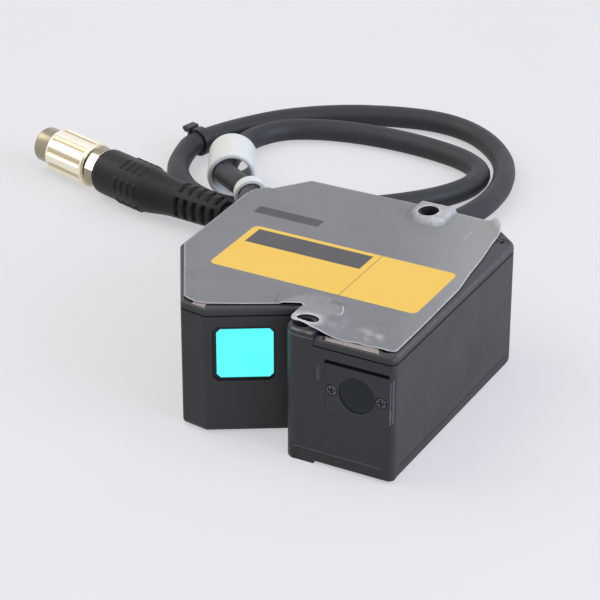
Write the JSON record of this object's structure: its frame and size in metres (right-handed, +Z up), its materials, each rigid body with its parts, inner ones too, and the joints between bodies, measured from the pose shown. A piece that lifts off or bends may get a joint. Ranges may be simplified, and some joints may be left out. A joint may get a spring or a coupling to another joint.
{
  "type": "laser displacement sensor",
  "caption": "Flat laser displacement sensor head with a round emitter window, a slanted square receiver window, a coiled cable and a round push-pull connector.",
  "frame": {"origin": "under the middle of the head's plan box, on the plane that its mounting pads stand on", "axes": "+X along the emitter face to the right seen from the front, +Y to the rear edge, +Z up to the label side"},
  "size_m": [0.159, 0.1773, 0.0327],
  "materials": {
    "housing_paint": "satin black coat on die-cast metal",
    "cover_paint": "satin black coat on metal",
    "label_film": "matt grey printed film",
    "black_steel": "black oxide",
    "steel": "bright",
    "black_rubber": "matt",
    "emitter_glass": "dark clear",
    "receiver_glass": "coated, reflects cyan",
    "aluminium": "machined",
    "lens_glass": "polished",
    "black_aluminium": "black anodised",
    "gold": "gold plate",
    "green_board": "solder mask",
    "chip_plastic": "moulded",
    "cable_jacket": "soft satin",
    "white_nylon": "satin",
    "black_nylon": "satin",
    "boot_plastic": "moulded satin",
    "nickel": "satin nickel on brass",
    "insert_plastic": "moulded"
  },
  "bodies": {
    "head": {"housing": "housing_paint", "top_cover": "cover_paint", "cover_gasket": "black_rubber", "cover_screws": "black_steel", "label_film": "label_film", "emitter_window_plate": "housing_paint", "emitter_window_glass": "emitter_glass", "emitter_window_seal": "black_rubber", "plate_screws": "black_steel", "receiver_window_glass": "receiver_glass", "receiver_window_seal": "black_rubber", "laser_holder": "aluminium", "laser_diode": "gold", "collimator_lens": "lens_glass", "receiver_lens_barrel": "black_aluminium", "receiver_lens": "lens_glass", "sensor_board": "green_board", "image_sensor": "chip_plastic", "main_board": "green_board", "board_chips": "chip_plastic", "board_screws": "steel", "cable_gland": "black_rubber", "cable": "cable_jacket", "white_cable_wrap": "white_nylon", "white_cable_tie": "white_nylon", "black_cable_tie": "black_nylon", "connector_boot": "boot_plastic", "connector_shell": "nickel", "connector_insert": "insert_plastic", "contact_pins": "gold"},
    "sleeve": {"locking_sleeve": "nickel"}
  },
  "joints": [
    {"name": "sleeve_slide", "type": "slide", "parent": "head", "child": "sleeve", "axis": [0.9613, -0.2756, 0], "range_m": [0, 0.001], "stiffness_N_per_m": 1000, "springref_m": -0.001}
  ]
}
